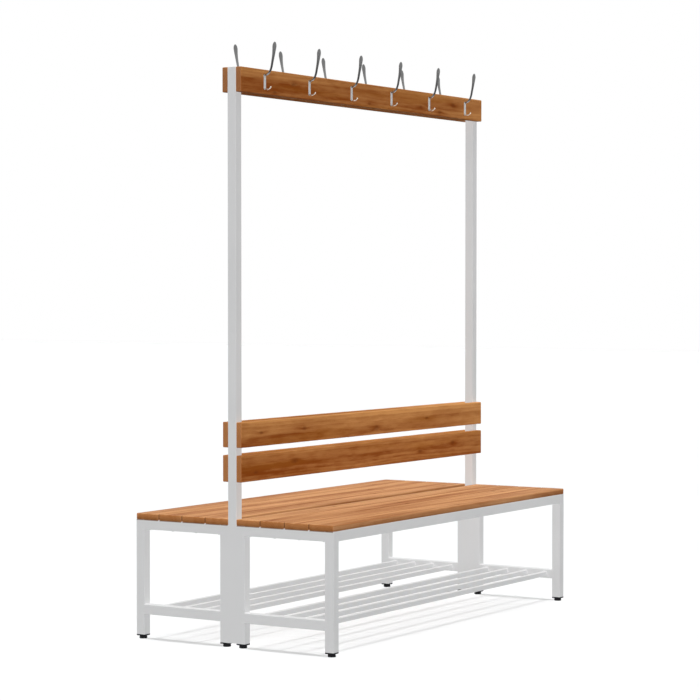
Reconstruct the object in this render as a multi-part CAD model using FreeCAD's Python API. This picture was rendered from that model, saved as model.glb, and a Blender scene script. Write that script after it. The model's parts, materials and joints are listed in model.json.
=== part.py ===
import FreeCAD, Part
import math
import os

# Double-sided cloakroom bench. X runs along it, Y across it with the front at -Y, Z up from the floor.
# All lengths are in millimetres, angles in degrees.

# Bench layout
bench_length = 1500.0
bench_depth = 350.0
rail_top = 373.5
rack_middle = 93.0
board_top = 1764.0

# Frame tube
tube = 30.0
tube_wall = 1.5
tube_radius = 1.0
tube_inside_radius = 0.5

# Shoe rack tube
rack_tube = 15.0
rack_wall = 1.2
rack_radius = 0.8
rack_inside_radius = 0.4
rack_count = 4
rack_side_gap = 21.0

# Timber
slat_count = 4
slat_gap = 2.0
slat_thickness = 19.0
board_thickness = 20.0
timber_round = 3.0
hook_board_height = 76.0
upper_back_height = 77.5
lower_back_height = 81.5
lower_back_bottom = 505.0
back_gap = 23.5

# Feet and the inserts that take their studs
pad_height = 9.5
pad_diameter = 25.0
pad_top_diameter = 23.5
pad_chamfer = 1.2
stud_diameter = 8.0
stud_chamfer = 0.8
stud_spare = 10.0
flange = 4.0
insert_depth = 22.0
insert_wall = 2.2
insert_boss = 14.0
plug_clearance = 0.05
stud_clearance = 0.05

# Caps of the uprights
cap_head = 3.0
cap_depth = 10.0
cap_wall = 2.0
cap_round = 0.8

# Coat hooks: plate, long upper arm with a spoon tip, small lower hook
hook_count = 6
hook_drop = 13.5
plate_height = 49.0
plate_width = 11.0
plate_thickness = 3.2
plate_round = 1.8
arm_drop = 3.4
arm_width = 7.6
arm_thickness = 6.2
arm_reach = 37.2
arm_bend_radius = 23.3
arm_lean = 74.0
arm_tip_lean = 84.0
spoon_width = 17.0
spoon_thickness = 10.0
spoon_cap = 15.0
lower_radius = 13.0
lower_reach = 11.8
lower_lift = 1.5
lower_rod = 3.8
lower_ball = 5.0
lower_tip_angle = 30.0
bend_shares = (0.0, 0.5, 1.0)
sweep_shares = (0.3, 0.6, 0.8, 1.0)
growth_shares = (0.0, 0.0, 0.0, 0.10, 0.32, 0.62, 1.0)
hook_screw_shares = (0.38, 0.70)

# Screws and bolts
screw_diameter = 5.0
screw_head = 10.0
screw_head_height = 2.8
screw_point = 6.0
screw_clearance = 0.2
access_clearance = 0.6
bite_share = 0.72
rear_screw_share = 0.26
front_screw_share = 0.10
hook_screw_diameter = 3.5
hook_screw_head = 7.0
hook_screw_head_height = 2.0
bolt_diameter = 8.0
bolt_head = 14.0
bolt_head_height = 4.4
bolt_head_round = 1.8
bolt_tail = 2.0
nut_flats = 13.0
nut_height = 6.5
bolt_height_shares = (0.2, 0.8)

# How far a cutting tool runs past what it cuts
overrun = 5.0

origin = FreeCAD.Vector(0, 0, 0)
x_axis = FreeCAD.Vector(1, 0, 0)
y_axis = FreeCAD.Vector(0, 1, 0)
z_axis = FreeCAD.Vector(0, 0, 1)
sides = {"front": -1, "rear": 1}
ends = {"left": -1, "right": 1}

# Places that follow from the sizes above
half_tube = tube / 2
leg_bottom = pad_height + flange
upright_top = board_top - cap_head
end_x = bench_length / 2 - half_tube
between_ends = bench_length - 2 * tube
leg_rows = {"inner": tube, "outer": bench_depth}
rail_start_y = leg_rows["inner"] + half_tube
rail_span = bench_depth - 2 * tube
rail_middle = rail_top - half_tube
slat_width = (bench_depth - (slat_count - 1) * slat_gap) / slat_count
slat_rows = [half_tube + slat_width / 2 + row * (slat_width + slat_gap) for row in range(slat_count)]
rack_first_y = rail_start_y + rack_side_gap + rack_tube / 2
rack_pitch = (rail_span - 2 * rack_side_gap - rack_tube) / (rack_count - 1)
board_face = half_tube + board_thickness
upper_back_bottom = lower_back_bottom + lower_back_height + back_gap
boards = {
    "back_board_{}_lower": (lower_back_bottom, lower_back_height),
    "back_board_{}_upper": (upper_back_bottom, upper_back_height),
    "hook_board_{}": (board_top - hook_board_height, hook_board_height),
}
hook_pitch = bench_length / hook_count
hook_places = [(place + 0.5) * hook_pitch - bench_length / 2 for place in range(hook_count)]
plate_bottom = board_top - hook_drop - plate_height
leg_clear_bottom = rack_middle + half_tube
leg_clear = rail_top - tube - leg_clear_bottom
bolt_heights = [leg_clear_bottom + share * leg_clear for share in bolt_height_shares]
bolt_hole = bolt_diameter + 2 * screw_clearance
screw_hole = screw_diameter + 2 * screw_clearance
hook_screw_hole = hook_screw_diameter + 2 * screw_clearance
slat_bite = bite_share * slat_thickness
board_bite = bite_share * board_thickness


def moved(shape, x, y, z):
    placed = shape.copy()
    placed.translate(FreeCAD.Vector(x, y, z))
    return placed


def turned(shape, axis, angle):
    placed = shape.copy()
    placed.rotate(origin, axis, angle)
    return placed


def along_x(shape):
    # what stood along +Z then runs along +X
    return turned(shape, y_axis, 90)


def along_y(shape, way):
    # what stood along +Z then runs along +Y or -Y
    return turned(shape, x_axis, -90 * way)


def rod(diameter, bottom, top):
    return moved(Part.makeCylinder(diameter / 2, top - bottom), 0, 0, bottom)


def square_bar(size, radius, bottom, top):
    bar = Part.makeBox(size, size, top - bottom, FreeCAD.Vector(-size / 2, -size / 2, bottom))
    corners = [edge for edge in bar.Edges if edge.BoundBox.ZLength > edge.BoundBox.DiagonalLength / 2]
    return bar.makeFillet(radius, corners)


def square_tube(size, wall, radius, inside_radius, length):
    outside = square_bar(size, radius, 0, length)
    inside = square_bar(size - 2 * wall, inside_radius, -overrun, length + overrun)
    return outside.cut(inside)


def frame_tube(length):
    return square_tube(tube, tube_wall, tube_radius, tube_inside_radius, length)


def timber(length, width, thickness):
    # a board centred on the origin in X and Y that stands on Z = 0, with every edge rounded
    corner = FreeCAD.Vector(-length / 2, -width / 2, 0)
    board = Part.makeBox(length, width, thickness, corner)
    return board.makeFillet(timber_round, board.Edges)


def spun(points):
    # a solid of revolution about Z from its half outline of (radius, height)
    outline = [FreeCAD.Vector(radius, 0, height) for radius, height in points]
    outline.append(outline[0])
    return Part.Face(Part.makePolygon(outline)).revolve(origin, z_axis, 360)


def pan_screw(reach):
    # the head lies above Z = 0 and the shank below it
    return rod(screw_head, 0, screw_head_height).fuse(rod(screw_diameter, -reach, 0)).removeSplitter()


def countersunk_screw(diameter, head, head_height, reach):
    # the flush head ends at Z = 0 and the shank runs below it
    shank = diameter / 2
    return spun([(0, 0), (head / 2, 0), (shank, -head_height), (shank, -reach), (0, -reach)])


def countersink(diameter, head, head_height, reach):
    # the room that a countersunk screw needs, opened by the clearance
    wide = head / 2 + screw_clearance
    slim = diameter / 2 + screw_clearance
    return spun([(0, overrun), (wide, overrun), (wide, 0), (slim, -head_height), (slim, -reach), (0, -reach)])


def leg(side, row, end):
    return moved(frame_tube(rail_top - leg_bottom), end * end_x, side * leg_rows[row], leg_bottom)


def drilled_leg(side, end):
    # an inner leg: the bolts pass right through the rear one and end in nuts inside the front one
    far_y = rail_start_y if side == sides["rear"] else half_tube + tube_wall
    drill = along_y(rod(bolt_hole, 0, far_y + overrun), side)
    return leg(side, "inner", end).cut([moved(drill, end * end_x, 0, height) for height in bolt_heights])


def upright(end):
    tubing = frame_tube(upright_top - leg_bottom)
    through = along_y(rod(bolt_hole, -tube, tube), 1)
    holes = [moved(through, 0, 0, height) for height in bolt_heights]
    wall_hole = rod(screw_hole, half_tube - tube_wall - overrun, half_tube + overrun)
    access = rod(screw_head + 2 * access_clearance, 0, half_tube + overrun)
    for bottom, height in boards.values():
        middle = bottom + height / 2
        for step in (-1, 1):
            rear_z = middle + step * rear_screw_share * height
            front_z = middle + step * front_screw_share * height
            holes.append(moved(along_y(wall_hole, 1), 0, 0, rear_z))
            holes.append(moved(along_y(wall_hole, -1), 0, 0, front_z))
            holes.append(moved(along_y(access, 1), 0, 0, front_z))
    piece = moved(tubing, 0, 0, leg_bottom).cut(holes)
    return moved(piece, end * end_x, 0, 0)


def upright_cap(end):
    size = tube - 2 * tube_wall - 2 * plug_clearance
    bottom = upright_top - cap_depth
    head = square_bar(tube, tube_radius, upright_top, board_top)
    rim = [edge for edge in head.Edges if edge.BoundBox.ZMin > upright_top + cap_head / 2]
    head = head.makeFillet(cap_round, rim)
    plug = square_bar(size, tube_inside_radius, bottom, upright_top)
    hollow = square_bar(size - 2 * cap_wall, tube_inside_radius, bottom - overrun, upright_top)
    return moved(head.fuse(plug.cut(hollow)).removeSplitter(), end * end_x, 0, 0)


def cross_tube(side, x, middle):
    # a tube across one bench, from its inner to its outer leg or side rail
    piece = along_y(frame_tube(rail_span), side)
    return moved(piece, x, side * rail_start_y, middle)


def seat_cross_tube(side, x):
    drill = rod(screw_hole, rail_top - tube - overrun, rail_top + overrun)
    holes = [moved(drill, x, side * row, 0) for row in slat_rows]
    return cross_tube(side, x, rail_middle).cut(holes)


def seat_side_rail(side, row_y):
    return moved(along_x(frame_tube(between_ends)), -between_ends / 2, side * row_y, rail_middle)


def rack_bar(side, row):
    bar = along_x(square_tube(rack_tube, rack_wall, rack_radius, rack_inside_radius, between_ends))
    return moved(bar, -between_ends / 2, side * (rack_first_y + row * rack_pitch), rack_middle)


def seat_slat(side, row):
    slat = moved(timber(bench_length, slat_width, slat_thickness), 0, side * row, rail_top)
    pilot = rod(screw_hole, rail_top - overrun, rail_top + slat_bite + screw_clearance)
    return slat.cut([moved(pilot, x, side * row, 0) for x in (-end_x, 0, end_x)])


def seat_screw(side, row, x):
    screw = turned(pan_screw(tube + slat_bite), x_axis, 180)
    return moved(screw, x, side * row, rail_top - tube)


def board_holes(side, bottom, height):
    middle = bottom + height / 2
    if side == sides["rear"]:
        hole = countersink(screw_diameter, screw_head, screw_head_height, board_thickness + overrun)
        hole = moved(along_y(hole, 1), 0, board_face, 0)
        share = rear_screw_share
    else:
        hole = along_y(rod(screw_hole, half_tube - overrun, half_tube + board_bite + screw_clearance), -1)
        share = front_screw_share
    heights = [middle + step * share * height for step in (-1, 1)]
    return [moved(hole, end * end_x, 0, z) for end in ends.values() for z in heights]


def wall_board(side, name):
    bottom, height = boards[name]
    board = moved(turned(timber(bench_length, height, board_thickness), x_axis, 90), 0, 0, bottom + height / 2)
    back_y = -half_tube if side == sides["front"] else board_face
    holes = board_holes(side, bottom, height)
    if name == "hook_board_{}":
        pilot = along_y(rod(hook_screw_hole, board_face - board_bite - screw_clearance, board_face + overrun), side)
        holes += [moved(pilot, x, 0, plate_bottom + share * plate_height)
                  for x in hook_places for share in hook_screw_shares]
    return moved(board, 0, back_y, 0).cut(holes)


def board_screw(side, end, z):
    if side == sides["rear"]:
        reach = board_thickness + tube_wall + screw_point
        screw = countersunk_screw(screw_diameter, screw_head, screw_head_height, reach)
        return moved(along_y(screw, 1), end * end_x, board_face, z)
    screw = along_y(pan_screw(tube_wall + board_bite), 1)
    return moved(screw, end * end_x, tube_wall - half_tube, z)


def all_board_screws():
    screws = []
    for bottom, height in boards.values():
        middle = bottom + height / 2
        for end in ends.values():
            for step in (-1, 1):
                screws.append(board_screw(sides["rear"], end, middle + step * rear_screw_share * height))
                screws.append(board_screw(sides["front"], end, middle + step * front_screw_share * height))
    return screws


def hook_plate():
    # a plate with round ends, standing on Z = 0 with its back on Y = 0 and its front at -Y
    radius = plate_width / 2
    slab = Part.makeBox(plate_width, plate_thickness, plate_height - plate_width,
                        FreeCAD.Vector(-radius, -plate_thickness, radius))
    cap = along_y(rod(plate_width, 0, plate_thickness), -1)
    plate = slab.fuse([moved(cap, 0, 0, radius), moved(cap, 0, 0, plate_height - radius)]).removeSplitter()
    front = [edge for edge in plate.Edges if edge.BoundBox.YMax < -plate_thickness / 2]
    return plate.makeFillet(plate_round, front)


def arm_stations():
    # (distance out, height, heading) along the arm: a tight bend off the plate, then a wide sweep to the tip
    lean = math.radians(arm_lean)
    tip_lean = math.radians(arm_tip_lean)
    start_out = plate_thickness / 2
    start_z = plate_height - arm_drop
    bend_out = start_out + arm_bend_radius * math.sin(lean)
    bend_z = start_z + arm_bend_radius * (1 - math.cos(lean))
    sweep_radius = (arm_reach - bend_out) / (math.sin(tip_lean) - math.sin(lean))
    stations = []
    for share in bend_shares:
        heading = share * lean
        out = start_out + arm_bend_radius * math.sin(heading)
        stations.append((out, start_z + arm_bend_radius * (1 - math.cos(heading)), heading))
    for share in sweep_shares:
        heading = lean + share * (tip_lean - lean)
        out = bend_out + sweep_radius * (math.sin(heading) - math.sin(lean))
        stations.append((out, bend_z + sweep_radius * (math.cos(lean) - math.cos(heading)), heading))
    return stations


def arm_section(out, z, heading, growth):
    # an ellipse across the arm, wide along X, in four arcs
    width = arm_width + growth * (spoon_width - arm_width)
    thickness = arm_thickness + growth * (spoon_thickness - arm_thickness)
    centre = FreeCAD.Vector(0, -out, z)
    across = FreeCAD.Vector(0, math.sin(heading), math.cos(heading))
    ellipse = Part.Ellipse(centre + x_axis * width / 2, centre + across * thickness / 2, centre)
    quarter = math.pi / 2
    arcs = [Part.ArcOfEllipse(ellipse, turn * quarter, (turn + 1) * quarter) for turn in range(4)]
    return Part.Wire([arc.toShape() for arc in arcs])


def hook_arm():
    # the arm swells into the spoon, which a half ellipsoid closes
    stations = arm_stations()
    arm = Part.makeLoft([arm_section(*at, growth) for at, growth in zip(stations, growth_shares)], True, False)
    stretch = FreeCAD.Matrix()
    stretch.scale(spoon_width / 2, spoon_thickness / 2, spoon_cap)
    dome = Part.makeSphere(1, origin, z_axis, 0, 90, 360).transformGeometry(stretch)
    dome = turned(dome, x_axis, 90 - arm_tip_lean)
    tip_out, tip_z, tip_heading = stations[-1]
    return arm.fuse(moved(dome, 0, -tip_out, tip_z)).removeSplitter()


def lower_hook():
    # a round rod bent about an axis along X, from inside the plate to a ball at its tip
    centre = FreeCAD.Vector(0, -lower_reach, lower_radius + lower_lift)
    start = math.acos((lower_reach - plate_thickness / 2) / lower_radius)
    tip = math.radians(lower_tip_angle)
    inner_arm = FreeCAD.Vector(0, math.cos(start), -math.sin(start))
    tip_arm = FreeCAD.Vector(0, -math.cos(tip), -math.sin(tip))
    section = Part.makeCircle(lower_rod / 2, centre + inner_arm * lower_radius, inner_arm.cross(x_axis))
    sweep = 180 - math.degrees(start) - lower_tip_angle
    bend = Part.Face(Part.Wire(section)).revolve(centre, x_axis, -sweep)
    return bend.fuse(Part.makeSphere(lower_ball / 2, centre + tip_arm * lower_radius))


def coat_hook():
    hook = hook_plate().fuse([hook_arm(), lower_hook()]).removeSplitter()
    hole = countersink(hook_screw_diameter, hook_screw_head, hook_screw_head_height, plate_thickness + overrun)
    hole = moved(along_y(hole, -1), 0, -plate_thickness, 0)
    return hook.cut([moved(hole, 0, 0, share * plate_height) for share in hook_screw_shares])


def hook_screw():
    reach = plate_thickness + board_bite
    screw = countersunk_screw(hook_screw_diameter, hook_screw_head, hook_screw_head_height, reach)
    return moved(along_y(screw, -1), 0, -plate_thickness, 0)


def on_board(shape, side, x, z):
    # a hook or its screw, made for the front, set on either side's board
    placed = moved(shape, 0, -board_face, z)
    if side == sides["rear"]:
        placed = turned(placed, z_axis, 180)
    return moved(placed, x, 0, 0)


def frame_bolt(end, z):
    reach = rail_start_y + half_tube + tube_wall + nut_height + bolt_tail
    head = rod(bolt_head, 0, bolt_head_height)
    rim = [edge for edge in head.Edges if edge.BoundBox.ZMin > bolt_head_height / 2]
    bolt = head.makeFillet(bolt_head_round, rim).fuse(rod(bolt_diameter, -reach, 0)).removeSplitter()
    return moved(along_y(bolt, 1), end * end_x, rail_start_y, z)


def weld_nut(end, z):
    corner = nut_flats / math.sqrt(3)
    turns = [math.radians(60 * step) for step in range(7)]
    outline = Part.makePolygon([FreeCAD.Vector(corner * math.cos(a), corner * math.sin(a), 0) for a in turns])
    nut = Part.Face(outline).extrude(z_axis * nut_height)
    nut = nut.cut(rod(bolt_hole, -overrun, nut_height + overrun))
    return moved(along_y(nut, -1), end * end_x, -half_tube - tube_wall, z)


def leg_insert(x, y):
    size = tube - 2 * tube_wall - 2 * plug_clearance
    top = leg_bottom + insert_depth
    piece = square_bar(tube, tube_radius, pad_height, leg_bottom)
    pocket = square_bar(size - 2 * insert_wall, tube_inside_radius, leg_bottom, top + overrun)
    pocket = pocket.cut(rod(insert_boss, leg_bottom, top + overrun))
    plug = square_bar(size, tube_inside_radius, leg_bottom, top).cut(pocket)
    bore = rod(stud_diameter + 2 * stud_clearance, 0, top + overrun)
    return moved(piece.fuse(plug).cut(bore).removeSplitter(), x, y, 0)


def foot(x, y):
    wide = pad_diameter / 2
    stud = stud_diameter / 2
    top = leg_bottom + insert_depth + stud_spare
    outline = [(0, 0), (wide - pad_chamfer, 0), (wide, pad_chamfer), (pad_top_diameter / 2, pad_height),
               (stud, pad_height), (stud, top - stud_chamfer), (stud - stud_chamfer, top), (0, top)]
    return moved(spun(outline), x, y, 0)


def build():
    nodes = {}
    inserts = []
    for side_name, side in sides.items():
        for row, row_y in leg_rows.items():
            for end_name, end in ends.items():
                corner = f"{side_name}_{row}_{end_name}"
                nodes[f"leg_{corner}"] = [drilled_leg(side, end) if row == "inner" else leg(side, row, end)]
                nodes[f"foot_{corner}"] = [foot(end * end_x, side * row_y)]
                inserts.append(leg_insert(end * end_x, side * row_y))
        nodes[f"seat_end_rails_{side_name}"] = [seat_cross_tube(side, end * end_x) for end in ends.values()]
        nodes[f"seat_side_rails_{side_name}"] = [seat_side_rail(side, row_y) for row_y in leg_rows.values()]
        nodes[f"rack_rails_{side_name}"] = [cross_tube(side, end * end_x, rack_middle) for end in ends.values()]
        nodes[f"rack_tubes_{side_name}"] = [rack_bar(side, row) for row in range(rack_count)]
        for number, row in enumerate(slat_rows, 1):
            nodes[f"seat_slat_{side_name}_{number}"] = [seat_slat(side, row)]
        for name in boards:
            nodes[name.format(side_name)] = [wall_board(side, name)]
        for number, x in enumerate(hook_places, 1):
            nodes[f"coat_hook_{side_name}_{number}"] = [on_board(coat_hook(), side, x, plate_bottom)]
    for end_name, end in ends.items():
        nodes[f"upright_{end_name}"] = [upright(end)]
    nodes["upright_caps"] = [upright_cap(end) for end in ends.values()]
    nodes["seat_bearers"] = [seat_cross_tube(side, 0) for side in sides.values()]
    nodes["leg_inserts"] = inserts
    nodes["seat_screws"] = [seat_screw(side, row, x) for side in sides.values() for row in slat_rows
                            for x in (-end_x, 0, end_x)]
    nodes["board_screws"] = all_board_screws()
    nodes["hook_screws"] = [on_board(hook_screw(), side, x, plate_bottom + share * plate_height)
                            for side in sides.values() for x in hook_places for share in hook_screw_shares]
    nodes["frame_bolts"] = [frame_bolt(end, z) for end in ends.values() for z in bolt_heights]
    nodes["weld_nuts"] = [weld_nut(end, z) for end in ends.values() for z in bolt_heights]
    return nodes


os.makedirs("parts", exist_ok=True)
for node, solids in build().items():
    shape = solids[0] if len(solids) == 1 else Part.makeCompound(solids)
    shape.exportStep(f"parts/{node}.step")
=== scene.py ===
import json
import math
import random

import bmesh
import bpy
from mathutils import Matrix, Vector

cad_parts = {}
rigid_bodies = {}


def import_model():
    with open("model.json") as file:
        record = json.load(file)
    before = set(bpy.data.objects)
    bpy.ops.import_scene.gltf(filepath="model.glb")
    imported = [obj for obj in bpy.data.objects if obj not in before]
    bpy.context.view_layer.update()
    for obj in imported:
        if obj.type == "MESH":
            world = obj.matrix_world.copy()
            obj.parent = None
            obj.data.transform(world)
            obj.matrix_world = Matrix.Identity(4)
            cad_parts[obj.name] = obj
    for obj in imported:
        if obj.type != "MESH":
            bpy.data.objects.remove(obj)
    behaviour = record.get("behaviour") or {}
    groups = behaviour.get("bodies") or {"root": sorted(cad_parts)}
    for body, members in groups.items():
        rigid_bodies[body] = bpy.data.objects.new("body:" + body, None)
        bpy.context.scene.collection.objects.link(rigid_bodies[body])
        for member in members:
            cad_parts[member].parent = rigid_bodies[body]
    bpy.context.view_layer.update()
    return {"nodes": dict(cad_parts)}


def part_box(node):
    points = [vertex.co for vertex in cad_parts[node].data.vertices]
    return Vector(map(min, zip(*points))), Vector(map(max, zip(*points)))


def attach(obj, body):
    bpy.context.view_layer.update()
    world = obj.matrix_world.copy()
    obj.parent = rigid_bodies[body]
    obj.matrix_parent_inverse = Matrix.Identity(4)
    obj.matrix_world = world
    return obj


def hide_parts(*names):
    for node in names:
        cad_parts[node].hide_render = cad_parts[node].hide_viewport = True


# Double-sided cloakroom bench: finishes for frame, timber and hooks, and small turned and welded pieces
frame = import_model()
nodes = frame["nodes"]
print("frame loaded with", len(nodes), "nodes")


class Socket:
    # one output of a finish's nodes; arithmetic on it adds Math nodes
    def __init__(self, finish, output):
        self.finish = finish
        self.output = output

    def out(self, name):
        return Socket(self.finish, self.output.node.outputs[name])

    def maths(self, operation, *values):
        return self.finish.node("ShaderNodeMath", {"operation": operation}, dict(enumerate(values)))

    def __add__(self, other):
        return self.maths("ADD", self, other)

    def __radd__(self, other):
        return self.maths("ADD", other, self)

    def __sub__(self, other):
        return self.maths("SUBTRACT", self, other)

    def __rsub__(self, other):
        return self.maths("SUBTRACT", other, self)

    def __mul__(self, other):
        return self.maths("MULTIPLY", self, other)

    def __rmul__(self, other):
        return self.maths("MULTIPLY", other, self)

    def __truediv__(self, other):
        return self.maths("DIVIDE", self, other)

    def __rtruediv__(self, other):
        return self.maths("DIVIDE", other, self)

    def __pow__(self, other):
        return self.maths("POWER", self, other)

    def __rpow__(self, other):
        return self.maths("POWER", other, self)

    def __abs__(self):
        return self.maths("ABSOLUTE", self)

    def sign(self):
        return self.maths("SIGN", self)

    def fraction(self):
        return self.maths("FRACT", self)

    def most(self, other):
        return self.maths("MAXIMUM", self, other)

    def smooth(self, low, high):
        # 0 at low, 1 at high, with a soft start and end; low may be the larger one
        limits = {"Value": self, "From Min": low, "From Max": high}
        return self.finish.node("ShaderNodeMapRange", {"interpolation_type": "SMOOTHSTEP"}, limits)


class Finish:
    # a material's or the world's nodes, with a few short ways to add to them
    def __init__(self, owner):
        owner.use_nodes = True
        self.owner = owner
        self.tree = owner.node_tree
        self.shader = self.tree.nodes.get("Principled BSDF") or self.tree.nodes["Background"]

    def feed(self, node, key, value):
        if isinstance(key, int):
            socket = node.inputs[key]
        else:
            socket = next(s for s in node.inputs if s.enabled and s.name == key)
        if isinstance(value, Socket):
            self.tree.links.new(value.output, socket)
        elif socket.type == "RGBA":
            socket.default_value = (*value[:3], 1)
        else:
            socket.default_value = value

    def node(self, kind, settings=None, sockets=None):
        made = self.tree.nodes.new(kind)
        for key, value in (settings or {}).items():
            setattr(made, key, value)
        for key, value in (sockets or {}).items():
            self.feed(made, key, value)
        return Socket(self, next(o for o in made.outputs if o.enabled))

    def set(self, **sockets):
        # names of the shader's sockets with _ for a space
        for key, value in sockets.items():
            self.feed(self.shader, key.replace("_", " "), value)
        return self.owner

    def place(self):
        return self.node("ShaderNodeTexCoord").out("Object")

    def facing(self):
        return self.split(self.node("ShaderNodeTexCoord").out("Normal"))

    def split(self, vector):
        return self.node("ShaderNodeSeparateXYZ", None, {0: vector})

    def noise(self, vector, scale, detail, seed):
        sockets = {"Vector": vector, "W": seed, "Scale": scale, "Detail": detail}
        return self.node("ShaderNodeTexNoise", {"noise_dimensions": "4D"}, sockets)

    def vector(self, x, y, z):
        return self.node("ShaderNodeCombineXYZ", None, {0: x, 1: y, 2: z})

    def mix(self, factor, first, second):
        sockets = {"Factor": factor, "A": first, "B": second}
        return self.node("ShaderNodeMix", {"data_type": "RGBA"}, sockets)

    def bump(self, height, values):
        sockets = {"Strength": values["bumpStrength"], "Distance": values["bumpHeight"], "Height": height}
        return self.node("ShaderNodeBump", None, sockets)

    def seen(self):
        # 1 for what the camera sees, straight or by reflection, 0 for light on other surfaces
        ray = self.node("ShaderNodeLightPath")
        shown = ray.out("Is Camera Ray").most(ray.out("Is Glossy Ray"))
        return shown.most(ray.out("Is Transmission Ray"))


cloudy = (0.3, 0.7)                # a noise's start and end for soft clouds


def newFinish(name):
    return Finish(bpy.data.materials.new(name))


def tinted(colour, share):
    return tuple(part * share for part in colour)


def shifted(reach, start):
    return [start + part for part in reach]


def forNode(values, node):
    # the value whose key starts the node's name
    return next(value for start, value in values.items() if node.startswith(start))


def dress(node, material):
    slots = nodes[node].data.materials
    if len(slots):
        slots[0] = material
    else:
        slots.append(material)


# Timber: each board is cut from its own log, so the rings run on round its edges and ends
timber = {
    "firstSeed": 3,
    "ringWidth": 0.0066,           # metres from one growth ring to the next
    "ringRise": (0.15, 0.85),      # shares of a ring over which it darkens
    "ringDrop": (1.0, 0.86),       # and over which it ends
    "heart": (0.035, 0.075),       # how far behind the face the log's heart lies
    "aside": 0.03,                 # how far to one side of the board it may lie
    "slope": 0.016,                # how much the log leans along the board
    "sway": 0.05,                  # slow wander of the rings
    "swayDepth": 0.5,              # share of it through the board
    "wobble": 0.0026,              # quick wander of the rings
    "ior": 1.1,
    "roughness": 0.60,
    "ringRoughness": 0.05,
    "fibreRoughness": 0.10,
    "relief": {"ring": -0.5, "fibre": -0.3, "pore": -0.6, "eye": 0.4},
    "bumpHeight": 0.00025,
    "bumpStrength": 0.35,
}

# Noise in the grain: waves per metre along and across the board, detail, and where it starts and ends
grains = {
    "ragged": (55.0, 150.0, 2.0, None),          # the edges of knots
    "sway": (1.1, 6.0, 1.0, None),
    "wobble": (9.0, 90.0, 2.0, None),
    "broad": (1.5, 17.0, 2.0, (0.34, 0.66)),
    "streak": (1.1, 62.0, 2.0, (0.32, 0.68)),
    "mottle": (16.0, 75.0, 3.0, (0.34, 0.66)),
    "fibre": (16.0, 900.0, 2.0, (0.3, 0.7)),
    "pore": (60.0, 2200.0, 0.0, (0.66, 0.76)),
    "amber": (2.3, 26.0, 1.0, (0.5, 0.72)),
}
seedSteps = {"board": 1.7, "grain": 0.01}        # keep the noise of boards and of grains apart

# Stain: light and dark colours, how deep it is on each board and how much each pattern deepens it
stain = {
    # a slat's light and dark colours are paler and greyer than a board's: painted sheen of the seat's top
    "light": {"board": (0.52, 0.246, 0.082), "slat": (0.55, 0.284, 0.129)},
    "dark": {"board": (0.18, 0.041, 0.005), "slat": (0.20, 0.055, 0.014)},
    "amber": (0.30, 0.112, 0.016),
    "amberShare": {"board": 0.26, "slat": 0.10},
    "poreShare": 0.3,
    "poreTint": 0.7,
    "depth": {"hook_board": 0.58, "back_board_front_upper": 0.54, "back_board_front_lower": 0.74,
              "back_board_rear": 0.58, "seat_slat_front_3": 0.31, "seat_slat_front_4": 0.31,
              "seat_slat": 0.36},
    "spread": 0.05,                # how much one board differs from the next
    "patterns": {"ring": {"board": 0.16, "slat": 0.12}, "broad": {"board": 0.26, "slat": 0.42},
                 "streak": {"board": 0.24, "slat": 0.54}, "mottle": {"board": 0.15, "slat": 0.10},
                 "fibre": {"board": 0.16, "slat": 0.12}},
    "paintedLight": 0.26,               # painted light from above: how much paler a standing board is towards its top edge
    "paintedLightReach": (-0.1, 0.5),   # where that starts and ends, in shares of the height from the middle
    "paintedLightLevel": 0.3,           # where on that way the depth stays as it was
    "fade": 0.14,                  # how much paler a board is towards its right end
}

# End grain, on faces that look along the board
endGrain = {
    "colour": {"hook_board": (0.280, 0.122, 0.052), "back_board": (0.346, 0.148, 0.058),
               "seat_slat": (0.345, 0.131, 0.041)},
    "facing": (0.6, 0.95),
    "share": 0.8,
    "ringShare": 0.3,
    "ringTint": 0.7,
}

# Painted shade in narrow gaps, in metres from the edges
paintedShade = {
    "colour": (0.060, 0.018, 0.004),
    "share": {"board": 0.65, "slat": 0.80, "centre": 0.34},
    "reach": (0.0016, 0.0004),
    "underTop": (-0.006, -0.016),  # a board's back has no painted shade along its top
    "overFoot": (0.002, 0.004),    # a slat's sides have no painted shade along the foot
    "footShare": 0.42,             # but a slat is painted darker from the top to the foot, as painted shade
    "footReach": (0.4, -0.5),      # shares of the thickness from the middle
}

# Knots push the rings aside and show as brown eyes with a dark tail along the grain
knots = {
    "count": (1, 3),
    "radius": (0.003, 0.0052),
    "stretch": 2.2,                # length over width
    "ragged": 2.2,                 # how much the edge wanders, in radii
    "edge": 2.1,                   # where the eye ends, in radii
    "colour": (0.095, 0.024, 0.005),
    "depth": 0.52,
    "push": 0.5,                   # how far the rings bend, in radii
    "pushFall": 0.10,              # how fast that fades
    "tail": 0.18,                  # how much it deepens the stain
    "tailFall": (0.012, 0.34),     # how fast the tail fades along and across the board
}

# Knots that show on the viewer's side: along the board, height on it, radius
shownKnots = {
    "hook_board_front": [(-0.461, 1.7303, 0.0055), (-0.567, 1.6975, 0.004), (-0.012, 1.7010, 0.0035),
                         (0.322, 1.7119, 0.004), (0.543, 1.7316, 0.005), (0.449, 1.7006, 0.004)],
    "back_board_front_upper": [(-0.402, 0.6524, 0.004), (0.032, 0.6328, 0.0055), (0.361, 0.6494, 0.004),
                               (-0.643, 0.6512, 0.0035)],
    "back_board_front_lower": [(-0.458, 0.5532, 0.006), (-0.672, 0.5318, 0.004), (0.543, 0.5544, 0.005),
                               (0.319, 0.5372, 0.004)],
}
timberNodes = sorted(n for n in nodes if n.startswith(("back_board", "hook_board", "seat_slat")))
# from the centre of the bench outwards
slatNumbers = sorted({n[-1] for n in timberNodes if n.startswith("seat_slat")})


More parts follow.
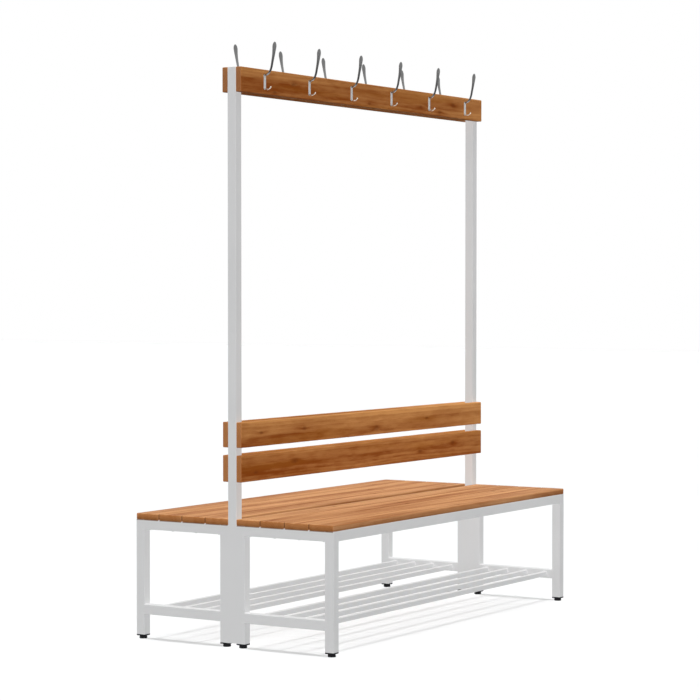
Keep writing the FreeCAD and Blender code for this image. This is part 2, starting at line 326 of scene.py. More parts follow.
class Board:
    # a board or slat with its finish, its box and its own directions
    def __init__(self, node, seed):
        self.node = node
        self.seed = seed
        self.pick = random.Random(seed)
        self.finish = newFinish(node + "_timber")
        self.low, self.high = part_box(node)
        self.middle = (self.low + self.high) / 2
        self.size = self.high - self.low
        self.flat = self.size.y > self.size.z    # a slat lies flat, a board stands
        self.kind = "slat" if self.flat else "board"
        parts = self.finish.split(self.finish.place())
        self.along = parts.out("X")
        self.standing = parts.out("Z") - self.middle.z
        self.level = parts.out("Y") - self.middle.y
        self.across = self.level if self.flat else self.standing
        self.through = self.standing if self.flat else self.level

    def grain(self, name):
        run, side, detail, limits = grains[name]
        stretched = self.finish.vector(self.along * run, self.across * side, self.through * side)
        seed = self.seed * seedSteps["board"] + side * seedSteps["grain"]
        noise = self.finish.noise(stretched, 1.0, detail, seed)
        return noise.smooth(*limits) if limits else noise - 0.5


def randomKnots(board):
    pick, low, high = board.pick, board.low, board.high
    count = pick.randint(*knots["count"])
    bottom, top = (low.y, high.y) if board.flat else (low.z, high.z)
    made = []
    for _ in range(count):
        side = pick.uniform(bottom, top)
        made.append((pick.uniform(low.x, high.x), side, pick.uniform(*knots["radius"])))
    return made


def knotMarks(board):
    # how far the rings are pushed, and where eyes and tails show
    centre = board.middle.y if board.flat else board.middle.z
    ragged = board.grain("ragged") * knots["ragged"]
    alongFall, acrossFall = knots["tailFall"]
    push = eye = tail = 0.0
    for knotX, knotSide, radius in shownKnots.get(board.node) or randomKnots(board):
        area = radius ** 2
        away = board.along - knotX
        aside = board.across - (knotSide - centre)
        reach = (away / knots["stretch"]) ** 2 + aside ** 2
        distance = reach ** 0.5 / radius + ragged
        push = math.e ** (reach * (-knots["pushFall"] / area)) * (radius * knots["push"]) + push
        tail = math.e ** (away * away * (-alongFall / area) + aside * aside * (-acrossFall / area)) + tail
        eye = distance.smooth(knots["edge"], 0.0).most(eye)
    return push, eye, tail


def ringPattern(board, push):
    pick = board.pick
    heart = pick.uniform(*timber["heart"]) * pick.choice((-1, 1))
    offset = pick.uniform(-timber["aside"], timber["aside"])
    lean = pick.uniform(-timber["slope"], timber["slope"])
    sway = board.grain("sway") * timber["sway"]
    ringSide = board.across + board.along * lean + sway + offset
    ringDepth = board.through + sway * timber["swayDepth"] + heart
    wobble = board.grain("wobble") * timber["wobble"]
    radial = (ringSide * ringSide + ringDepth * ringDepth) ** 0.5 + push + wobble
    turn = (radial / timber["ringWidth"]).fraction()
    return turn.smooth(*timber["ringRise"]) * turn.smooth(*timber["ringDrop"])


def stainTone(board, patterns, tail):
    # 0 is the stain's light colour, 1 its dark one
    depth = forNode(stain["depth"], board.node) + board.pick.uniform(-stain["spread"], stain["spread"])
    tone = tail * knots["tail"] + depth
    for name, shares in stain["patterns"].items():
        tone = tone + (patterns[name] - 0.5) * shares[board.kind]
    if board.flat:
        return tone
    # painted light from above: a standing board grows paler towards its top edge
    start, end = (share * board.size.z for share in stain["paintedLightReach"])
    paler = (board.standing.smooth(start, end) - stain["paintedLightLevel"]) * stain["paintedLight"]
    return tone - paler - board.along * (stain["fade"] / board.high.x)


def paintedGapShade(board):
    # painted shade on a board's back, and on a slat's sides but for the seat's outer edge
    side, rise = board.size.y / 2, board.size.z / 2
    start, full = paintedShade["reach"]
    share = paintedShade["share"]
    inward = board.level * (1 if board.middle.y < 0 else -1)
    inner = inward.smooth(side - start, side - full)
    if not board.flat:
        return inner * share["board"] * board.standing.smooth(*shifted(paintedShade["underTop"], rise))
    number = board.node[-1]
    shade = inner * share["centre" if number == slatNumbers[0] else "slat"]
    if number != slatNumbers[-1]:
        shade = shade.most(inward.smooth(start - side, full - side) * share["slat"])
    return shade * board.standing.smooth(*shifted(paintedShade["overFoot"], -rise))


def timberFinish(node, seed):
    board = Board(node, seed)
    finish = board.finish
    push, eye, tail = knotMarks(board)
    marks = {"ring": ringPattern(board, push), "eye": eye}
    for name in ("broad", "streak", "mottle", "fibre", "pore"):
        marks[name] = board.grain(name)
    light, dark = stain["light"][board.kind], stain["dark"][board.kind]
    body = finish.mix(stainTone(board, marks, tail), light, dark)
    body = finish.mix(board.grain("amber") * stain["amberShare"][board.kind], body, stain["amber"])
    body = finish.mix(marks["pore"] * stain["poreShare"], body, tinted(dark, stain["poreTint"]))
    body = finish.mix(eye * knots["depth"], body, knots["colour"])
    ends = forNode(endGrain["colour"], node)
    ringed = finish.mix(marks["ring"] * endGrain["ringShare"], ends, tinted(ends, endGrain["ringTint"]))
    isEnd = abs(finish.facing().out("X")).smooth(*endGrain["facing"])
    body = finish.mix(isEnd * endGrain["share"], body, ringed)
    # painted shade in the narrow gaps
    body = finish.mix(paintedGapShade(board), body, paintedShade["colour"])
    if board.flat:
        # painted shade: a slat grows darker from its top to its foot
        foot = board.standing.smooth(*tinted(paintedShade["footReach"], board.size.z))
        body = finish.mix(foot * paintedShade["footShare"], body, paintedShade["colour"])
    relief = 0.0
    for name, height in timber["relief"].items():
        relief = marks[name] * height + relief
    roughness = marks["fibre"] * timber["fibreRoughness"] + marks["ring"] * timber["ringRoughness"]
    return finish.set(Base_Color=body, Roughness=roughness + timber["roughness"], IOR=timber["ior"],
                      Normal=finish.bump(relief, timber))


for number, node in enumerate(timberNodes):
    dress(node, timberFinish(node, number + timber["firstSeed"]))
print("timber finished on", len(timberNodes), "boards and slats")


# Powder coat: an even light grey with a fine orange peel; a noise is its scale, detail and seed
coat = {
    "light": (0.548, 0.550, 0.554),
    "dark": (0.518, 0.520, 0.524),
    "cloud": (5.0, 3.0, 0.0),
    "cloudShare": 0.6,
    "grit": (3800.0, 0.0, 5.0),
    "gritReach": (0.55, 0.75),
    "gritShare": 0.4,
    "peel": (620.0, 1.0, 2.0),
    "ior": 1.25,
    "roughness": 0.38,             # where the coat is smoothest
    "cloudRoughness": 0.06,
    "peelRoughness": 0.10,
    "bumpHeight": 0.00012,
    "bumpStrength": 0.25,
    "slatShadow": (0.17, 0.095, 0.055),               # painted shadow close under the slats
    "slatShadowReach": (-0.0030, -0.0012),            # metres from the slats' undersides
    "slatRound": 0.003,            # the slats' rounded edges leave the rail clear of the painted shadow
}


def paintedSlatShadow(finish, place):
    # painted shadow on the rails close under the slats, but not at the gaps between them
    low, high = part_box("seat_slat_rear_1")
    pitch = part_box("seat_slat_rear_2")[0].y - low.y
    middle = (low.y + high.y) / 2
    half = (high.y - low.y) / 2
    parts = finish.split(place)
    fromMiddle = abs(((abs(parts.out("Y")) - middle) / pitch + 0.5).fraction() - 0.5) * pitch
    covered = fromMiddle.smooth(half, half - coat["slatRound"])
    return covered * parts.out("Z").smooth(*shifted(coat["slatShadowReach"], low.z))


def coatFinish(name, paintSlatShadow):
    finish = newFinish(name)
    place = finish.place()
    cloud = finish.noise(place, *coat["cloud"]).smooth(*cloudy)
    peel = finish.noise(place, *coat["peel"])
    grit = finish.noise(place, *coat["grit"]).smooth(*coat["gritReach"])
    colour = finish.mix(cloud * coat["cloudShare"] + grit * coat["gritShare"], coat["light"], coat["dark"])
    if paintSlatShadow:
        # painted shadow under the slats
        colour = finish.mix(paintedSlatShadow(finish, place), colour, coat["slatShadow"])
    roughness = cloud * coat["cloudRoughness"] + peel * coat["peelRoughness"] + coat["roughness"]
    return finish.set(Base_Color=colour, Roughness=roughness, IOR=coat["ior"],
                      Normal=finish.bump(peel, coat))


# Hook steel: satin plates with painted highlights on their edges; drawn arms painted dark at the root and
# paler up to the spoon as painted reflection, with a painted highlight on the side that faces the board;
# the lower crook painted pale as painted reflection
steel = {
    "plate": (0.44, 0.455, 0.47),
    # painted highlight on the plate's edges
    "edge": (0.88, 0.88, 0.88),
    "edgeHighlightReach": (0.0046, 0.0054),               # metres from the hook's middle
    "root": (0.055, 0.055, 0.056),
    "innerHighlight": (0.27, 0.27, 0.27),
    "innerHighlightFacing": (0.3, -0.3),     # the arm's side that looks at the board, which gets the painted highlight
    "spoon": (0.18, 0.18, 0.18),
    "armReach": (-0.018, -0.006),  # metres from the board's top edge
    # painted reflection on the lower crook
    "lower": (0.90, 0.84, 0.75),
    "lowerOut": (0.003, 0.0045),   # metres from the board's face
    "lowerTop": (0.014, 0.012),    # metres from the hook's lowest point
    "soil": (0.09, 0.088, 0.086),
    "soilShare": 0.2,
    "cloud": (70.0, 3.0, 4.0),
    "brush": (9000.0, 1500.0, 160.0),            # waves per metre along X, Y and Z
    "brushDetail": 2.0,
    "roughness": 0.26,             # where the steel is smoothest
    "brushRoughness": 0.10,
    "cloudRoughness": 0.06,
    "bumpHeight": 0.00004,
    "bumpStrength": 0.1,
}


def steelFinish():
    finish = newFinish("hook_steel")
    place = finish.place()
    parts = finish.split(place)
    x, y, z = (parts.out(axis) for axis in "XYZ")
    low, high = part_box("coat_hook_front_1")
    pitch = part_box("coat_hook_front_2")[0].x - low.x
    boardLow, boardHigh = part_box("hook_board_front")
    fromHook = ((x / pitch).fraction() - 0.5) * pitch
    # painted highlight along the plate's edges
    edge = abs(fromHook).smooth(*steel["edgeHighlightReach"])
    arm = z.smooth(*shifted(steel["armReach"], boardHigh.z))
    rise = z.smooth(boardHigh.z, high.z)
    out = abs(y) + boardLow.y
    # painted reflection: the lower crook pale and warm
    lower = out.smooth(*steel["lowerOut"]) * z.smooth(*shifted(steel["lowerTop"], low.z))
    drawn = finish.vector(*(part * waves for part, waves in zip((x, y, z), steel["brush"])))
    brush = finish.noise(drawn, 1.0, steel["brushDetail"], 0.0)
    cloud = finish.noise(place, *steel["cloud"]).smooth(*cloudy)
    plate = finish.mix(lower, finish.mix(edge, steel["plate"], steel["edge"]), steel["lower"])
    plate = finish.mix(cloud * steel["soilShare"], plate, steel["soil"])
    # painted highlight on the arms' side that faces the board
    innerHighlight = (finish.facing().out("Y") * y.sign()).smooth(*steel["innerHighlightFacing"])
    root = finish.mix(innerHighlight, steel["root"], steel["innerHighlight"])
    # painted reflection on the arms: dark at the root, paler up to the spoon
    body = finish.mix(arm, plate, finish.mix(rise, root, steel["spoon"]))
    roughness = brush * steel["brushRoughness"] + cloud * steel["cloudRoughness"] + steel["roughness"]
    return finish.set(Base_Color=body, Metallic=1.0, Roughness=roughness, Normal=finish.bump(brush, steel))


# Moulded plastic: black feet and grey caps with a fine spark-eroded grain
plastic = {
    "foot_plastic": {"colour": (0.009, 0.009, 0.010), "ior": 1.15},
    "cap_plastic": {"colour": (0.50, 0.50, 0.50), "ior": 1.45},
    "paleTint": 1.35,
    "cloud": (40.0, 2.0, 3.0),
    "cloudShare": 0.5,
    "grain": (1900.0, 2.0, 0.0),
    "grainReach": (0.5, 0.8),
    "grainShare": 0.3,
    "roughness": 0.39,             # where the plastic is smoothest
    "grainRoughness": 0.16,
    "cloudRoughness": 0.06,
    "bumpHeight": 0.00012,
    "bumpStrength": 0.3,
}


def plasticFinish(name):
    finish = newFinish(name)
    place = finish.place()
    colour = plastic[name]["colour"]
    grain = finish.noise(place, *plastic["grain"])
    cloud = finish.noise(place, *plastic["cloud"]).smooth(*cloudy)
    pale = cloud * plastic["cloudShare"] + grain.smooth(*plastic["grainReach"]) * plastic["grainShare"]
    body = finish.mix(pale, colour, tinted(colour, plastic["paleTint"]))
    roughness = grain * plastic["grainRoughness"] + cloud * plastic["cloudRoughness"] + plastic["roughness"]
    return finish.set(Base_Color=body, Roughness=roughness, IOR=plastic[name]["ior"],
                      Normal=finish.bump(grain, plastic))


# Zinc plate on screws, bolts and nuts
zinc = {
    "light": (0.60, 0.61, 0.62),
    "dark": (0.48, 0.48, 0.47),
    "cloud": (160.0, 3.0, 0.0),
    "turning": (2400.0, 1.0, 6.0),
    "roughness": 0.20,             # where the plate is smoothest
    "cloudRoughness": 0.12,
    "turningRoughness": 0.10,
    "bumpHeight": 0.00004,
    "bumpStrength": 0.25,
}


def zincFinish():
    finish = newFinish("zinc_plate")
    place = finish.place()
    cloud = finish.noise(place, *zinc["cloud"]).smooth(*cloudy)
    turning = finish.noise(place, *zinc["turning"])
    body = finish.mix(cloud, zinc["light"], zinc["dark"])
    roughness = cloud * zinc["cloudRoughness"] + turning * zinc["turningRoughness"] + zinc["roughness"]
    return finish.set(Base_Color=body, Metallic=1.0, Roughness=roughness, Normal=finish.bump(turning, zinc))


finishes = {
    "frame_coat": coatFinish("frame_coat", False),
    "seat_coat_painted_shadow": coatFinish("seat_coat_painted_shadow", True),
    "hook_steel": steelFinish(),
    "foot_plastic": plasticFinish("foot_plastic"),
    "cap_plastic": plasticFinish("cap_plastic"),
    "zinc_plate": zincFinish(),
}
nodeFinishes = {
    "frame_coat": ("upright_left", "upright_right", "rack_"),
    "seat_coat_painted_shadow": ("leg_front", "leg_rear", "seat_end", "seat_side", "seat_bearers"),
    "hook_steel": ("coat_hook",),
    "foot_plastic": ("foot_", "leg_inserts"),
    "cap_plastic": ("upright_caps",),
    "zinc_plate": ("seat_screws", "board_screws", "hook_screws", "frame_bolts", "weld_nuts"),
}
for name, starts in nodeFinishes.items():
    for node in nodes:
        if node.startswith(starts):
            dress(node, finishes[name])
print("finishes on frame, hooks, feet and fasteners")


# Mesh helpers for the turned and welded pieces
meshing = {"sharpAngle": 32, "sameVert": 1e-6, "sortDigits": 4}    # degrees, metres, digits of a metre


def solidBoxes(node):
    # lowest and highest corner of each separate solid of a node
    mesh = bmesh.new()
    mesh.from_mesh(nodes[node].data)
    bmesh.ops.remove_doubles(mesh, verts=mesh.verts, dist=meshing["sameVert"])
    waiting = set(mesh.verts)
    boxes = []
    while waiting:
        ahead = [waiting.pop()]
        island = []
        while ahead:
            vert = ahead.pop()
            island.append(vert.co.copy())
            for edge in vert.link_edges:
                other = edge.other_vert(vert)
                if other in waiting:
                    waiting.remove(other)
                    ahead.append(other)
        boxes.append((Vector(map(min, zip(*island))), Vector(map(max, zip(*island)))))
    mesh.free()
    return sorted(boxes, key=lambda box: tuple(round(part, meshing["sortDigits"]) for part in box[0]))


def addPiece(name, mesh, body, slot, replaced=()):
    bmesh.ops.recalc_face_normals(mesh, faces=mesh.faces)
    for face in mesh.faces:
        face.smooth = True
    data = bpy.data.meshes.new(name)
    mesh.to_mesh(data)
    mesh.free()
    data.set_sharp_from_angle(angle=math.radians(meshing["sharpAngle"]))
    data.materials.append(finishes[slot])
    piece = bpy.data.objects.new(name, data)
    bpy.context.collection.objects.link(piece)
    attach(piece, body)
    if replaced:
        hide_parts(*replaced)


def joinRings(mesh, first, second):
    # a ring of one vertex is a point
    for step in range(max(len(first), len(second))):
        corners = [first[step % len(first)], first[(step + 1) % len(first)],
                   second[(step + 1) % len(second)], second[step % len(second)]]
        mesh.faces.new(list(dict.fromkeys(corners)))


def onCircle(radius, turn, height):
    return radius * math.cos(turn), radius * math.sin(turn), height


def lathe(mesh, outline, sides):
    # rings of (radius, height), joined in turn
    rings = []
    for radius, height in outline:
        turns = [math.tau * step / sides for step in range(sides)] if radius else [0.0]
        rings.append([mesh.verts.new(onCircle(radius, turn, height)) for turn in turns])
    for first, second in zip(rings, rings[1:]):
        joinRings(mesh, first, second)
    return rings


def recessedTop(mesh, rim, outline, depth, taper):
    # the flat inside rim, round a driver's recess of that outline
    height = rim[0].co.z
    mouth = [mesh.verts.new((x, y, height)) for x, y in outline]
    floor = [mesh.verts.new((x * taper, y * taper, height - depth)) for x, y in outline]
    joinRings(mesh, mouth, floor)
    mesh.faces.new(floor)
    edges = []
    for loop in (rim, mouth):
        for first, second in zip(loop, loop[1:] + loop[:1]):
            edges.append(mesh.edges.get((first, second)) or mesh.edges.new((first, second)))
    bmesh.ops.triangle_fill(mesh, edges=edges, use_beauty=True)


# Screws and bolts, in metres: head up along Z with its seat at 0, shank below
fasteners = {
    "seed": 11,
    "sides": 36,
    "crossWidth": 0.085,           # shares of the head's radius
    "crossReach": 0.50,
    "recessTaper": 0.62,
    "dome": [(0.62, 1.0), (0.80, 0.88), (0.92, 0.66), (0.985, 0.36), (1.0, 0.0)],     # of radius and height
    "domeRecess": 0.6,             # shares of the head's height
    "flatRecess": 0.7,
    "flatEdge": 0.1,
    "domeTip": 0.8,                # shares of the shank's width
    "flatTip": 1.0,
    "socket": 0.0029,              # corner radius of a bolt's hexagon
    "socketSides": 6,
    "screw": (0.010, 0.0028, 0.005),             # head's width and height, shank's width
    "hookScrew": (0.007, 0.002, 0.0035),
    "bolt": (0.014, 0.0044, 0.008),
}
turnTo = {"rear": -90, "front": 90, "down": 180}     # degrees about X that point a head that way


def crossOutline(radius):
    wide = radius * fasteners["crossWidth"]
    far = radius * fasteners["crossReach"]
    quarter = [(wide, wide), (wide, far), (-wide, far)]
    outline = []
    for _ in range(4):
        outline += quarter
        quarter = [(-y, x) for x, y in quarter]
    return outline


def hexOutline(radius):
    sides = fasteners["socketSides"]
    return [onCircle(radius, math.tau * step / sides, 0)[:2] for step in range(sides)]


def flatScrew(mesh, sizes, length):
    head, height, shank = sizes
    edge = height * fasteners["flatEdge"]
    outline = [(head / 2 - edge, 0), (head / 2, -edge), (shank / 2, -height),
               (shank / 2, shank * fasteners["flatTip"] - length), (0, -length)]
    rim = lathe(mesh, outline, fasteners["sides"])[0]
    depth = height * fasteners["flatRecess"]
    recessedTop(mesh, rim, crossOutline(head / 2), depth, fasteners["recessTaper"])


def domedScrew(mesh, sizes, length, recess):
    head, height, shank = sizes
    outline = [(wide * head / 2, tall * height) for wide, tall in fasteners["dome"]]
    outline += [(shank / 2, 0), (shank / 2, shank * fasteners["domeTip"] - length), (0, -length)]
    rim = lathe(mesh, outline, fasteners["sides"])[0]
    recessedTop(mesh, rim, recess, height * fasteners["domeRecess"], fasteners["recessTaper"])


def setIn(mesh, start, place, facing, turn):
    # moves what was added since start to its place, head facing that way
    mesh.verts.ensure_lookup_table()
    added = mesh.verts[start:]
    spin = Matrix.Rotation(turn, 4, "Z")
    tilt = Matrix.Rotation(math.radians(turnTo[facing]), 4, "X")
    bmesh.ops.transform(mesh, matrix=Matrix.Translation(place) @ tilt @ spin, verts=added)


def addHookScrews(pick):
    mesh = bmesh.new()
    for low, high in solidBoxes("hook_screws"):
        place = (low + high) / 2
        facing = "front" if place.y < 0 else "rear"
        place.y = low.y if place.y < 0 else high.y
        start = len(mesh.verts)
        flatScrew(mesh, fasteners["hookScrew"], high.y - low.y)
        setIn(mesh, start, place, facing, pick.uniform(0, math.pi))
    addPiece("hook_screws_cross", mesh, "bench", "zinc_plate", ["hook_screws"])


def addBoardScrews(pick):
    mesh = bmesh.new()
    sizes = fasteners["screw"]
    for low, high in solidBoxes("board_screws"):
        place = (low + high) / 2
        start = len(mesh.verts)
        if high.y > 0:             # through a rear board, flush with its face
            place.y = high.y
            flatScrew(mesh, sizes, high.y - low.y)
        else:                      # into a front board, from inside the upright
            place.y = high.y - sizes[1]
            domedScrew(mesh, sizes, place.y - low.y, crossOutline(sizes[0] / 2))
        setIn(mesh, start, place, "rear", pick.uniform(0, math.pi))
    addPiece("board_screws_cross", mesh, "bench", "zinc_plate", ["board_screws"])


def addSeatScrews(pick):
    mesh = bmesh.new()
    sizes = fasteners["screw"]
    for low, high in solidBoxes("seat_screws"):
        place = (low + high) / 2
        place.z = low.z + sizes[1]
        start = len(mesh.verts)
        domedScrew(mesh, sizes, high.z - place.z, crossOutline(sizes[0] / 2))
        setIn(mesh, start, place, "down", pick.uniform(0, math.pi))
    addPiece("seat_screws_cross", mesh, "bench", "zinc_plate", ["seat_screws"])


def addFrameBolts(pick):
    mesh = bmesh.new()
    sizes = fasteners["bolt"]
    for low, high in solidBoxes("frame_bolts"):
        place = (low + high) / 2
        place.y = high.y - sizes[1]
        start = len(mesh.verts)
        domedScrew(mesh, sizes, place.y - low.y, hexOutline(fasteners["socket"]))
        setIn(mesh, start, place, "rear", pick.uniform(0, math.pi))
    addPiece("frame_bolts_hex", mesh, "bench", "zinc_plate", ["frame_bolts"])


pick = random.Random(fasteners["seed"])
addHookScrews(pick)
addBoardScrews(pick)
addSeatScrews(pick)
addFrameBolts(pick)
print("screws and bolts turned")


# Levelling feet: a ribbed pad on a threaded stud, in metres
feet = {
    "sides": 120,
    "ribs": 30,
    "ribDepth": 0.0003,
    "chamfer": 0.0012,
    "edge": 0.0005,
    "topShare": 0.94,              # the pad's top over its foot
    "hollow": 0.0009,              # depth of the hollow underneath
    "hollowShare": 0.56,
    "stud": 0.00395,
    "threadPitch": 0.00125,
    "threadDepth": 0.0006,
    "threadSides": 24,
    "threadSteps": 4,              # rings in each turn of the thread
}


def ribbedRing(mesh, radius, height):
    ring = []
    for step in range(feet["sides"]):
        turn = math.tau * step / feet["sides"]
        wide = radius - feet["ribDepth"] * (1 - math.cos(turn * feet["ribs"])) / 2
        ring.append(mesh.verts.new(onCircle(wide, turn, height)))
    return ring


def padMesh(radius, height):
    mesh = bmesh.new()
    hollow = feet["hollow"]
    inner = radius * feet["hollowShare"]
    under = [(0, hollow), (inner, hollow), (inner + hollow, 0), (radius - feet["chamfer"], 0)]
    top = radius * feet["topShare"]
    over = [(top - feet["edge"], height), (feet["stud"], height), (0, height)]
    lower = lathe(mesh, under, feet["sides"])[-1]
    upper = lathe(mesh, over, feet["sides"])[0]
    skirt = [ribbedRing(mesh, radius, feet["chamfer"]), ribbedRing(mesh, (radius + top) / 2, height / 2),
             ribbedRing(mesh, top, height - feet["edge"])]
    for first, second in zip([lower] + skirt, skirt + [upper]):
        joinRings(mesh, first, second)
    return mesh


def studMesh(bottom, top):
    # a rod whose radius follows the thread round and up
    mesh = bmesh.new()
    pitch = feet["threadPitch"]
    count = round((top - bottom) / pitch * feet["threadSteps"])
    rings = [[mesh.verts.new((0, 0, bottom))]]
    for step in range(count + 1):
        height = bottom + (top - bottom) * step / count
        point = min(1.0, (top - height) / feet["threadDepth"])      # the last turn runs out to a chamfer
        ring = []
        for side in range(feet["threadSides"]):
            share = side / feet["threadSides"]
            groove = abs(((height / pitch - share) % 1.0) * 2 - 1)
            radius = feet["stud"] - feet["threadDepth"] * max(groove, 1 - point)
            ring.append(mesh.verts.new(onCircle(radius, math.tau * share, height)))
        rings.append(ring)
    rings.append([mesh.verts.new((0, 0, top))])
    for first, second in zip(rings, rings[1:]):
        joinRings(mesh, first, second)
    return mesh


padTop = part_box("leg_inserts")[0].z
footNodes = sorted(n for n in nodes if n.startswith("foot_"))
for node in footNodes:
    low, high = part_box(node)
    middle = (low + high) / 2
    shift = Matrix.Translation((middle.x, middle.y, low.z))
    pad = padMesh((high.x - low.x) / 2, padTop - low.z)
    stud = studMesh(padTop - low.z - feet["edge"], high.z - low.z)
    for mesh in (pad, stud):
        bmesh.ops.transform(mesh, matrix=shift, verts=mesh.verts)
    addPiece(node + "_pad", pad, node, "foot_plastic", [node])
    addPiece(node + "_stud", stud, node, "zinc_plate")
print("feet ribbed and threaded:", len(footNodes))


# Welded joints: outer corners ground flush and coated over, small beads in the inner corners
welds = {
    "radius": 0.001,               # of the tubes' corners
    "arcSteps": 4,
    "bead": 0.0021,
    "beadEnd": 0.35,               # share of the bead's size that is left at its ends
    "runOut": 0.0022,              # length over which it grows to its full size
    "ripple": 0.0016,              # length of a ripple
    "rippleSteps": 4,
    "rippleDepth": 0.16,
    "bulge": 0.60,
    "bulgeFar": 1.25,              # place of a bulge along one face
    "bulgeNear": 0.55,             # and out from it
}
unit = {"x": Vector((1, 0, 0)), "y": Vector((0, 1, 0)), "z": Vector((0, 0, 1))}


def fillCorner(mesh, corner, first, second, run):
    # fills a tube's rounded corner out to square; first and second lead from it along the tube's faces
    radius = welds["radius"]
    centre = corner + (first + second) * radius
    outline = [corner]
    for step in range(welds["arcSteps"] + 1):
        turn = math.pi / 2 * step / welds["arcSteps"]
        outline.append(centre - (second * math.cos(turn) + first * math.sin(turn)) * radius)
    near = [mesh.verts.new(point) for point in outline]
    far = [mesh.verts.new(point + run) for point in outline]
    joinRings(mesh, near, far)
    mesh.faces.new(near)
    mesh.faces.new(far)


def layBead(mesh, start, end, first, second):
    # a rippled bead in an inner corner; first and second lead from the corner along the two faces
    length = (end - start).length
    steps = max(2, round(length / welds["ripple"])) * welds["rippleSteps"]
    rings = []
    for step in range(steps + 1):
        share = step / steps
        toEnd = min(1.0, min(share, 1 - share) * length / welds["runOut"])
        swell = welds["bead"] * (welds["beadEnd"] + (1 - welds["beadEnd"]) * toEnd ** 0.5)
        swell *= 1 - welds["rippleDepth"] * (step % welds["rippleSteps"]) / welds["rippleSteps"]
        corner = start.lerp(end, share)
        far = welds["bulge"] * swell * welds["bulgeFar"]
        near = welds["bulge"] * swell * welds["bulgeNear"]
        points = [corner, corner + first * swell, corner + first * far + second * near,
                  corner + first * near + second * far, corner + second * swell]
        rings.append([mesh.verts.new(point) for point in points])
    for one, other in zip(rings, rings[1:]):
        joinRings(mesh, one, other)
    mesh.faces.new(rings[0])
    mesh.faces.new(rings[-1])


def beadsRound(mesh, low, high, along, end, sides):
    # beads where a tube ends against a flat face; sides are the tube's sides that show
    across = [axis for axis in "xyz" if axis != along]
    place = high if end > 0 else low
    inset = welds["radius"]
    for axis, sign in sides:
        other = next(a for a in across if a != axis)
        corner = Vector()
        setattr(corner, along, getattr(place, along))
        setattr(corner, axis, getattr(high if sign > 0 else low, axis))
        first = corner + unit[other] * (getattr(low, other) + inset)
        last = corner + unit[other] * (getattr(high, other) - inset)
        layBead(mesh, first, last, unit[axis] * sign, unit[along] * -end)


def flushJoint(mesh, low, high, along, end, face):
    # squares the leg's corner edges where a rail of the same width ends against it
    for sign in (-1, 1):
        corner = Vector()
        setattr(corner, along, getattr(high if end > 0 else low, along))
        setattr(corner, face, getattr(high if sign > 0 else low, face))
        corner.z = low.z
        fillCorner(mesh, corner, unit[along] * end, unit[face] * -sign, unit["z"] * (high.z - low.z))


def addWelds():
    flush = bmesh.new()
    beads = bmesh.new()
    for name in ("rack_rails_front", "rack_rails_rear", "seat_end_rails_front", "seat_end_rails_rear"):
        sides = [("z", 1), ("z", -1)] if name.startswith("rack") else [("z", -1)]
        for low, high in solidBoxes(name):
            for end in (-1, 1):
                flushJoint(flush, low, high, "y", end, "x")
                beadsRound(beads, low, high, "y", end, sides)
    for name in ("seat_side_rails_front", "seat_side_rails_rear"):
        for low, high in solidBoxes(name):
            for end in (-1, 1):
                flushJoint(flush, low, high, "x", end, "y")
                beadsRound(beads, low, high, "x", end, [("z", -1)])
    for name in ("rack_tubes_front", "rack_tubes_rear"):
        for low, high in solidBoxes(name):
            for end in (-1, 1):
                beadsRound(beads, low, high, "x", end, [("z", 1), ("z", -1), ("y", 1), ("y", -1)])
    for low, high in solidBoxes("seat_bearers"):
        for end in (-1, 1):
            beadsRound(beads, low, high, "y", end, [("z", -1), ("x", 1), ("x", -1)])
    for end in ("left", "right"):
        low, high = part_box("upright_" + end)
        legLow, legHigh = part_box("leg_front_inner_" + end)
        rise = unit["z"] * (legHigh.z - legLow.z)
        for seam in (low.y, high.y):
            for faceX, inward in ((low.x, 1), (high.x, -1)):
                for way in (-1, 1):
                    corner = Vector((faceX, seam, legLow.z))
                    fillCorner(flush, corner, unit["x"] * inward, unit["y"] * way, rise)
    addPiece("flush_joints", flush, "bench", "frame_coat")
    addPiece("weld_beads", beads, "bench", "frame_coat")


addWelds()
print("joints welded")


# Stage: a pale floor that keeps faint shadows, even light from all round, and light from above
stage = {
    "floorSize": 60.0,
    "floorBounce": 0.08,           # what the floor gives back to the bench
    "floorShade": (0.790, 0.798, 0.802),         # what the camera sees of it, cool against the timber
    "worldStrength": 0.04,         # on the bench; the camera sees white
    "faceLight": 2.38,             # on the long sides
    "endLight": 2.72,
    "sideRise": 10.0,              # degrees above level
    "sideAngle": 30.0,
    "topLight": 0.32,              # shadows of the rack's rails
    "tubeLight": 0.85,             # and of the whole rack, so that the tubes' are fainter
    "topAngle": 5.0,
    "softLight": 0.93,             # wide shade under the rack
    "softAngle": 60.0,
    "rackLight": 0.7,              # only on the rack and the seat's rails
    "underLight": 0.14,            # from below
}


def floorFinish():
    finish = newFinish("floor")
    tree = finish.tree
    under = finish.node("ShaderNodeNewGeometry").out("Backfacing")
    bounce = finish.node("ShaderNodeBsdfDiffuse", None, {"Color": (stage["floorBounce"],) * 3})
    shade = finish.node("ShaderNodeBsdfDiffuse", None, {"Color": stage["floorShade"]})
    top = finish.node("ShaderNodeMixShader", None, {0: finish.seen(), 1: bounce, 2: shade})
    clear = finish.node("ShaderNodeBsdfTransparent")
    both = finish.node("ShaderNodeMixShader", None, {0: under, 1: top, 2: clear})
    tree.nodes.remove(finish.shader)
    tree.links.new(both.output, tree.nodes["Material Output"].inputs["Surface"])
    return finish.owner


def addFloor():
    half = stage["floorSize"] / 2
    corners = [(-half, -half, 0), (half, -half, 0), (half, half, 0), (-half, half, 0)]
    mesh = bpy.data.meshes.new("floor")
    mesh.from_pydata(corners, [], [(0, 1, 2, 3)])
    mesh.materials.append(floorFinish())
    floor = bpy.data.objects.new("floor", mesh)
    bpy.context.collection.objects.link(floor)


def gather(name, starts):
    group = bpy.data.collections.new(name)
    for piece in bpy.data.objects:
        if piece.type == "MESH" and piece.name.startswith(starts):
            group.objects.link(piece)
    return group


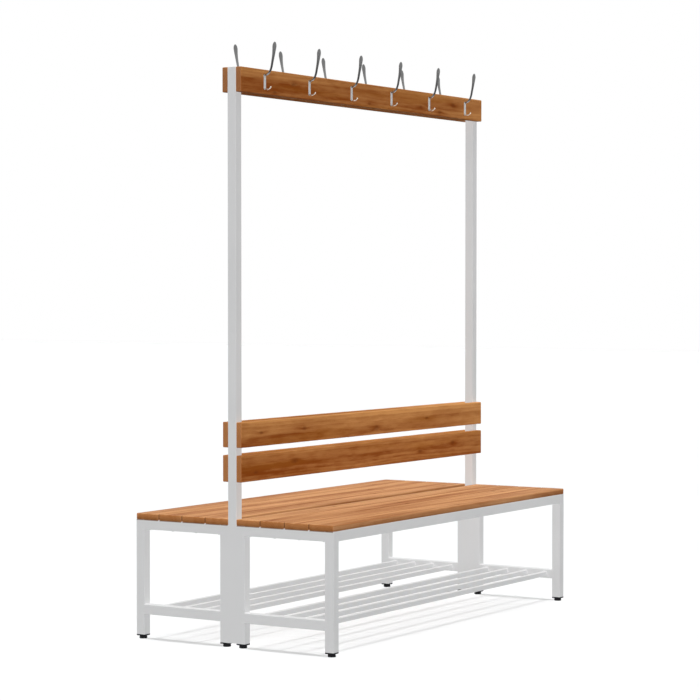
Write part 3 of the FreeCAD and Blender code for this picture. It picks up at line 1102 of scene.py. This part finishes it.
def addSun(name, strength, angle, blockers=None, turn=0.0, rise=90.0):
    # a sun casts the shadows of its blockers, and none without them
    lamp = bpy.data.lights.new(name, "SUN")
    lamp.energy = strength
    lamp.angle = math.radians(angle)
    lamp.use_shadow = blockers is not None
    sun = bpy.data.objects.new(name, lamp)
    sun.rotation_euler = (math.radians(90 - rise), 0, math.radians(turn))
    sun.light_linking.blocker_collection = blockers
    sun.visible_glossy = False
    bpy.context.collection.objects.link(sun)
    return sun


def addLights():
    world = Finish(bpy.data.worlds.new("studio"))
    base = stage["worldStrength"]
    world.set(Color=(1, 1, 1), Strength=world.seen() * (1 - base) + base)
    bpy.context.scene.world = world.owner
    railsAndFeet = gather("rails_and_feet", ("rack_rails", "foot_"))
    rackAndFeet = gather("rack_and_feet", ("rack_", "foot_"))
    addSun("top_light", stage["topLight"], stage["topAngle"], railsAndFeet)
    addSun("tube_light", stage["tubeLight"], stage["topAngle"], rackAndFeet)
    addSun("soft_light", stage["softLight"], stage["softAngle"], rackAndFeet)
    for number, strength in enumerate((stage["faceLight"], stage["endLight"]) * 2):
        addSun(f"side_light_{number}", strength, stage["sideAngle"], None, 90.0 * number, stage["sideRise"])
    addSun("under_light", stage["underLight"], stage["sideAngle"], None, 0.0, -90.0)
    rack = addSun("rack_light", stage["rackLight"], stage["topAngle"])
    rack.light_linking.receiver_collection = gather("under_seat", ("rack_", "seat_end", "seat_side"))


# Camera: where the photograph was taken from, in metres and degrees
camera = {
    "place": (-6.50541, -4.04190, 1.09509),
    "yaw": 32.1589,
    "pitch": 1.5338,
    "lens": 119.09,                # millimetres, as is the sensor
    "sensor": 36.0,
    "farthest": 100.0,
}


def addCamera():
    data = bpy.data.cameras.new("camera")
    data.lens = camera["lens"]
    data.sensor_width = camera["sensor"]
    data.clip_end = camera["farthest"]
    view = bpy.data.objects.new("camera", data)
    view.location = camera["place"]
    view.rotation_euler = (math.radians(90 - camera["pitch"]), 0, math.radians(camera["yaw"] - 90))
    bpy.context.collection.objects.link(view)
    bpy.context.scene.camera = view


addFloor()
addLights()
addCamera()
bpy.context.scene.view_settings.view_transform = "Standard"
print("stage set")
